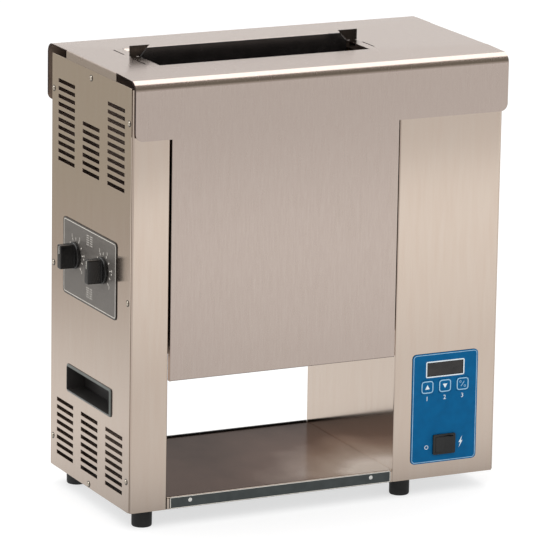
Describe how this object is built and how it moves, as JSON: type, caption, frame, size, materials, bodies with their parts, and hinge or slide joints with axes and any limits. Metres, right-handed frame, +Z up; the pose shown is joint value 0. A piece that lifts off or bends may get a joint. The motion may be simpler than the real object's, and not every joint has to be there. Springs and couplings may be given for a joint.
{
  "type": "vertical contact toaster",
  "caption": "Upright countertop toaster: a slot on top, two belts that press buns against a heated platen, an open landing deck below, knobs on the left side, keys and a switch in front.",
  "frame": {"origin": "on the floor under the feet, below the middle of the whole outline, knobs included", "axes": "+X to the right seen from the front, +Y to the back, +Z up"},
  "size_m": [0.591, 0.3, 0.6453],
  "materials": {
    "brushed_steel": "brushed stainless sheet",
    "cover_steel": "brushed stainless sheet, finer grain",
    "deck_steel": "heat tinted stainless sheet",
    "zinc_steel": "zinc plated mild steel",
    "cast_aluminium": "cast and turned aluminium",
    "black_plastic": "moulded black plastic",
    "black_rubber": "moulded rubber",
    "silicone_belt": "silicone rubber belt",
    "black_coated_steel": "black non-stick coating on steel",
    "release_fabric": "coated glass cloth",
    "grey_label": "grey printed label plate",
    "dark_label": "dark grey painted plate",
    "blue_overlay": "blue printed overlay",
    "dark_window": "smoked window",
    "green_board": "glass fibre board",
    "white_nylon": "moulded nylon",
    "painted_motor": "grey enamel"
  },
  "bodies": {
    "chassis": {"base_pan": "zinc_steel", "foot_front_left": "black_rubber", "foot_front_right": "black_rubber", "foot_rear_left": "black_rubber", "foot_rear_right": "black_rubber", "landing_deck": "deck_steel", "deck_tag_plate": "dark_label", "left_tower_shell": "brushed_steel", "right_tower_shell": "brushed_steel", "left_side_panel": "brushed_steel", "right_side_panel": "brushed_steel", "dial_plate": "grey_label", "left_handle_cup": "black_plastic", "right_handle_cup": "black_plastic", "platen": "cast_aluminium", "lower_heating_element": "zinc_steel", "upper_heating_element": "zinc_steel", "release_sheet": "release_fabric", "left_platen_bracket": "zinc_steel", "right_platen_bracket": "zinc_steel", "drive_chain": "zinc_steel", "chain_guide": "white_nylon", "gearmotor": "painted_motor", "control_overlay": "blue_overlay", "display_window": "dark_window", "control_board": "green_board", "power_switch_body": "black_plastic", "fan_frame": "black_plastic", "cable_gland": "black_plastic", "terminal_block": "black_plastic"},
    "top_cover": {"top_cover": "cover_steel"},
    "bun_divider": {"bun_divider": "black_coated_steel", "left_divider_ear": "brushed_steel", "right_divider_ear": "brushed_steel"},
    "front_knob": {"front_knob": "black_plastic", "front_adjusting_shaft": "zinc_steel"},
    "rear_knob": {"rear_knob": "black_plastic", "rear_adjusting_shaft": "zinc_steel"},
    "front_conveyor": {"front_conveyor_frame": "zinc_steel", "front_belt": "silicone_belt", "front_tilt_arm": "zinc_steel"},
    "rear_conveyor": {"rear_conveyor_frame": "zinc_steel", "rear_belt": "silicone_belt", "rear_tilt_arm": "zinc_steel"},
    "front_drive": {"front_drive_roller": "cast_aluminium", "front_drive_sprocket": "zinc_steel"},
    "rear_drive": {"rear_drive_roller": "cast_aluminium", "rear_drive_sprocket": "zinc_steel"},
    "front_idler": {"front_idler_roller": "cast_aluminium"},
    "rear_idler": {"rear_idler_roller": "cast_aluminium"},
    "motor_sprocket": {"motor_sprocket": "zinc_steel"},
    "power_rocker": {"power_rocker": "black_plastic"},
    "left_key": {"left_key": "blue_overlay"},
    "middle_key": {"middle_key": "blue_overlay"},
    "right_key": {"right_key": "blue_overlay"},
    "fan_rotor": {"fan_rotor": "black_plastic"}
  },
  "joints": [
    {"name": "cover_lift", "type": "slide", "parent": "chassis", "child": "top_cover", "axis": [0, 0, 1], "range_m": [0, 0.12]},
    {"name": "divider_lift", "type": "slide", "parent": "top_cover", "child": "bun_divider", "axis": [0, 0, 1], "range_m": [0, 0.09]},
    {"name": "front_knob_turn", "type": "hinge", "parent": "chassis", "child": "front_knob", "pos_m": [-0.26755, -0.047, 0.348], "axis": [1, 0, 0], "range_deg": [-135, 135]},
    {"name": "front_conveyor_tilt", "type": "hinge", "parent": "chassis", "child": "front_conveyor", "pos_m": [0.01245, -0.07205, 0.261], "axis": [1, 0, 0], "range_deg": [-2, 2]},
    {"name": "front_drive_spin", "type": "hinge", "parent": "chassis", "child": "front_drive", "pos_m": [0.01245, -0.07205, 0.261], "axis": [1, 0, 0], "continuous": true},
    {"name": "front_idler_spin", "type": "hinge", "parent": "front_conveyor", "child": "front_idler", "pos_m": [0.01245, -0.07205, 0.541], "axis": [1, 0, 0], "continuous": true},
    {"name": "rear_knob_turn", "type": "hinge", "parent": "chassis", "child": "rear_knob", "pos_m": [-0.26755, 0.047, 0.348], "axis": [1, 0, 0], "range_deg": [-135, 135]},
    {"name": "rear_conveyor_tilt", "type": "hinge", "parent": "chassis", "child": "rear_conveyor", "pos_m": [0.01245, 0.07405, 0.261], "axis": [1, 0, 0], "range_deg": [-2, 2]},
    {"name": "rear_drive_spin", "type": "hinge", "parent": "chassis", "child": "rear_drive", "pos_m": [0.01245, 0.07405, 0.261], "axis": [1, 0, 0], "continuous": true},
    {"name": "rear_idler_spin", "type": "hinge", "parent": "rear_conveyor", "child": "rear_idler", "pos_m": [0.01245, 0.07405, 0.541], "axis": [1, 0, 0], "continuous": true},
    {"name": "motor_spin", "type": "hinge", "parent": "chassis", "child": "motor_sprocket", "pos_m": [0.14945, 0.06, 0.366], "axis": [1, 0, 0], "continuous": true},
    {"name": "power_rock", "type": "hinge", "parent": "chassis", "child": "power_rocker", "pos_m": [0.21345, -0.1384, 0.0735], "axis": [0, 0, 1], "range_deg": [0, 24]},
    {"name": "left_key_push", "type": "slide", "parent": "chassis", "child": "left_key", "axis": [0, 1, 0], "range_m": [0, 0.0006], "stiffness_N_per_m": 200},
    {"name": "middle_key_push", "type": "slide", "parent": "chassis", "child": "middle_key", "axis": [0, 1, 0], "range_m": [0, 0.0006], "stiffness_N_per_m": 200},
    {"name": "right_key_push", "type": "slide", "parent": "chassis", "child": "right_key", "axis": [0, 1, 0], "range_m": [0, 0.0006], "stiffness_N_per_m": 200},
    {"name": "fan_spin", "type": "hinge", "parent": "chassis", "child": "fan_rotor", "pos_m": [0.21345, 0.1245, 0.496], "axis": [0, 1, 0], "continuous": true}
  ],
  "couplings": [
    {"joint": "front_knob_turn", "follows": "front_conveyor_tilt", "ratio": -67.442},
    {"joint": "rear_knob_turn", "follows": "rear_conveyor_tilt", "ratio": 67.442},
    {"joint": "front_idler_spin", "follows": "front_drive_spin", "ratio": 1},
    {"joint": "rear_drive_spin", "follows": "front_drive_spin", "ratio": -1},
    {"joint": "rear_idler_spin", "follows": "front_drive_spin", "ratio": -1},
    {"joint": "motor_spin", "follows": "front_drive_spin", "ratio": 1.3333}
  ]
}
